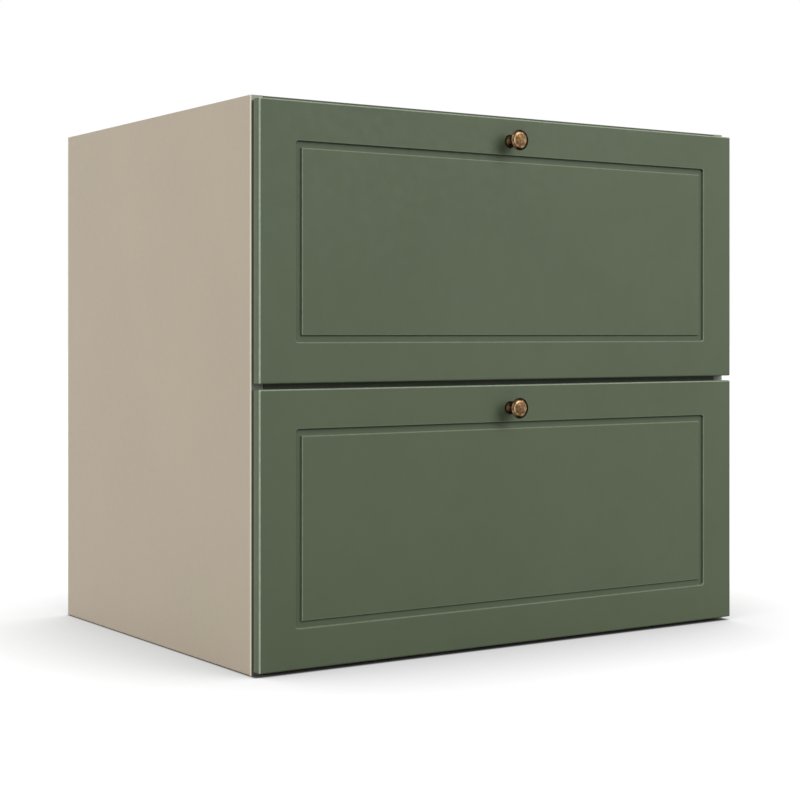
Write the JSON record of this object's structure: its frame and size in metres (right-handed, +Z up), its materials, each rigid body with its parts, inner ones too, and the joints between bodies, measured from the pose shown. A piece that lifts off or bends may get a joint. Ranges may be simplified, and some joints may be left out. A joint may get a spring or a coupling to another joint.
{
  "type": "kitchen base cabinet",
  "caption": "Wide low kitchen base cabinet with stacked full-extension drawers behind matt framed fronts with round knobs, open at the top for a worktop.",
  "frame": {"origin": "centre of the carcass's underside, on the floor", "axes": "+X to the right seen from the front, along the width; -Y out of the drawer fronts; +Z up"},
  "size_m": [0.8, 0.6131, 0.72],
  "materials": {
    "carcass_board": "matt beige melamine on chipboard",
    "back_board": "thin fibreboard with a beige printed face",
    "edge_band": "light beige plastic edge band",
    "green_front": "matt sage green lacquer on fibreboard",
    "drawer_board": "pale grey melamine",
    "aged_brass": "satin aged brass, darker in its hollows",
    "slide_steel": "bright zinc-plated sheet steel",
    "cage_steel": "thin zinc-plated sheet steel",
    "ball_steel": "polished steel",
    "screw_steel": "zinc-plated steel",
    "zinc_fitting": "die-cast zinc, matt",
    "beech_dowel": "plain beech",
    "bumper_rubber": "soft dark rubber"
  },
  "bodies": {
    "root": {"side_panel_left": "carcass_board", "side_panel_right": "carcass_board", "bottom_panel": "carcass_board", "top_rail_front": "carcass_board", "top_rail_back": "carcass_board", "mid_rail": "carcass_board", "back_panel": "back_board", "side_edge_left": "edge_band", "side_edge_right": "edge_band", "bottom_edge": "edge_band", "rail_edges": "edge_band", "cam_locks": "zinc_fitting", "cam_bolts": "zinc_fitting", "wood_dowels": "beech_dowel", "back_screws": "screw_steel", "slide_screws": "screw_steel", "upper_outer_member_left": "slide_steel", "upper_outer_member_right": "slide_steel", "lower_outer_member_left": "slide_steel", "lower_outer_member_right": "slide_steel"},
    "upper_drawer": {"upper_drawer_front": "green_front", "upper_box_side_left": "drawer_board", "upper_box_side_right": "drawer_board", "upper_box_front": "drawer_board", "upper_box_back": "drawer_board", "upper_box_floor": "drawer_board", "upper_box_screws": "screw_steel", "upper_front_screws": "screw_steel", "upper_member_screws": "screw_steel", "upper_bumper_pads": "bumper_rubber", "upper_knob": "aged_brass", "upper_knob_screw": "screw_steel", "upper_inner_member_left": "slide_steel", "upper_inner_member_right": "slide_steel"},
    "upper_slide_mid": {"upper_mid_member_left": "slide_steel", "upper_mid_member_right": "slide_steel"},
    "upper_outer_cage_set": {"upper_outer_cages": "cage_steel", "upper_outer_balls": "ball_steel"},
    "upper_inner_cage_set": {"upper_inner_cages": "cage_steel", "upper_inner_balls": "ball_steel"},
    "lower_drawer": {"lower_drawer_front": "green_front", "lower_box_side_left": "drawer_board", "lower_box_side_right": "drawer_board", "lower_box_front": "drawer_board", "lower_box_back": "drawer_board", "lower_box_floor": "drawer_board", "lower_box_screws": "screw_steel", "lower_front_screws": "screw_steel", "lower_member_screws": "screw_steel", "lower_bumper_pads": "bumper_rubber", "lower_knob": "aged_brass", "lower_knob_screw": "screw_steel", "lower_inner_member_left": "slide_steel", "lower_inner_member_right": "slide_steel"},
    "lower_slide_mid": {"lower_mid_member_left": "slide_steel", "lower_mid_member_right": "slide_steel"},
    "lower_outer_cage_set": {"lower_outer_cages": "cage_steel", "lower_outer_balls": "ball_steel"},
    "lower_inner_cage_set": {"lower_inner_cages": "cage_steel", "lower_inner_balls": "ball_steel"}
  },
  "joints": [
    {"name": "upper_drawer_slide", "type": "slide", "parent": "root", "child": "upper_drawer", "axis": [0, -1, 0], "range_m": [0, 0.5]},
    {"name": "upper_mid_slide", "type": "slide", "parent": "root", "child": "upper_slide_mid", "axis": [0, -1, 0], "range_m": [0, 0.25]},
    {"name": "upper_outer_cage_roll", "type": "slide", "parent": "root", "child": "upper_outer_cage_set", "axis": [0, -1, 0], "range_m": [0, 0.125]},
    {"name": "upper_inner_cage_roll", "type": "slide", "parent": "root", "child": "upper_inner_cage_set", "axis": [0, -1, 0], "range_m": [0, 0.375]},
    {"name": "lower_drawer_slide", "type": "slide", "parent": "root", "child": "lower_drawer", "axis": [0, -1, 0], "range_m": [0, 0.5]},
    {"name": "lower_mid_slide", "type": "slide", "parent": "root", "child": "lower_slide_mid", "axis": [0, -1, 0], "range_m": [0, 0.25]},
    {"name": "lower_outer_cage_roll", "type": "slide", "parent": "root", "child": "lower_outer_cage_set", "axis": [0, -1, 0], "range_m": [0, 0.125]},
    {"name": "lower_inner_cage_roll", "type": "slide", "parent": "root", "child": "lower_inner_cage_set", "axis": [0, -1, 0], "range_m": [0, 0.375]}
  ],
  "couplings": [
    {"joint": "upper_mid_slide", "follows": "upper_drawer_slide", "ratio": 0.5},
    {"joint": "upper_outer_cage_roll", "follows": "upper_drawer_slide", "ratio": 0.25},
    {"joint": "upper_inner_cage_roll", "follows": "upper_drawer_slide", "ratio": 0.75},
    {"joint": "lower_mid_slide", "follows": "lower_drawer_slide", "ratio": 0.5},
    {"joint": "lower_outer_cage_roll", "follows": "lower_drawer_slide", "ratio": 0.25},
    {"joint": "lower_inner_cage_roll", "follows": "lower_drawer_slide", "ratio": 0.75}
  ]
}
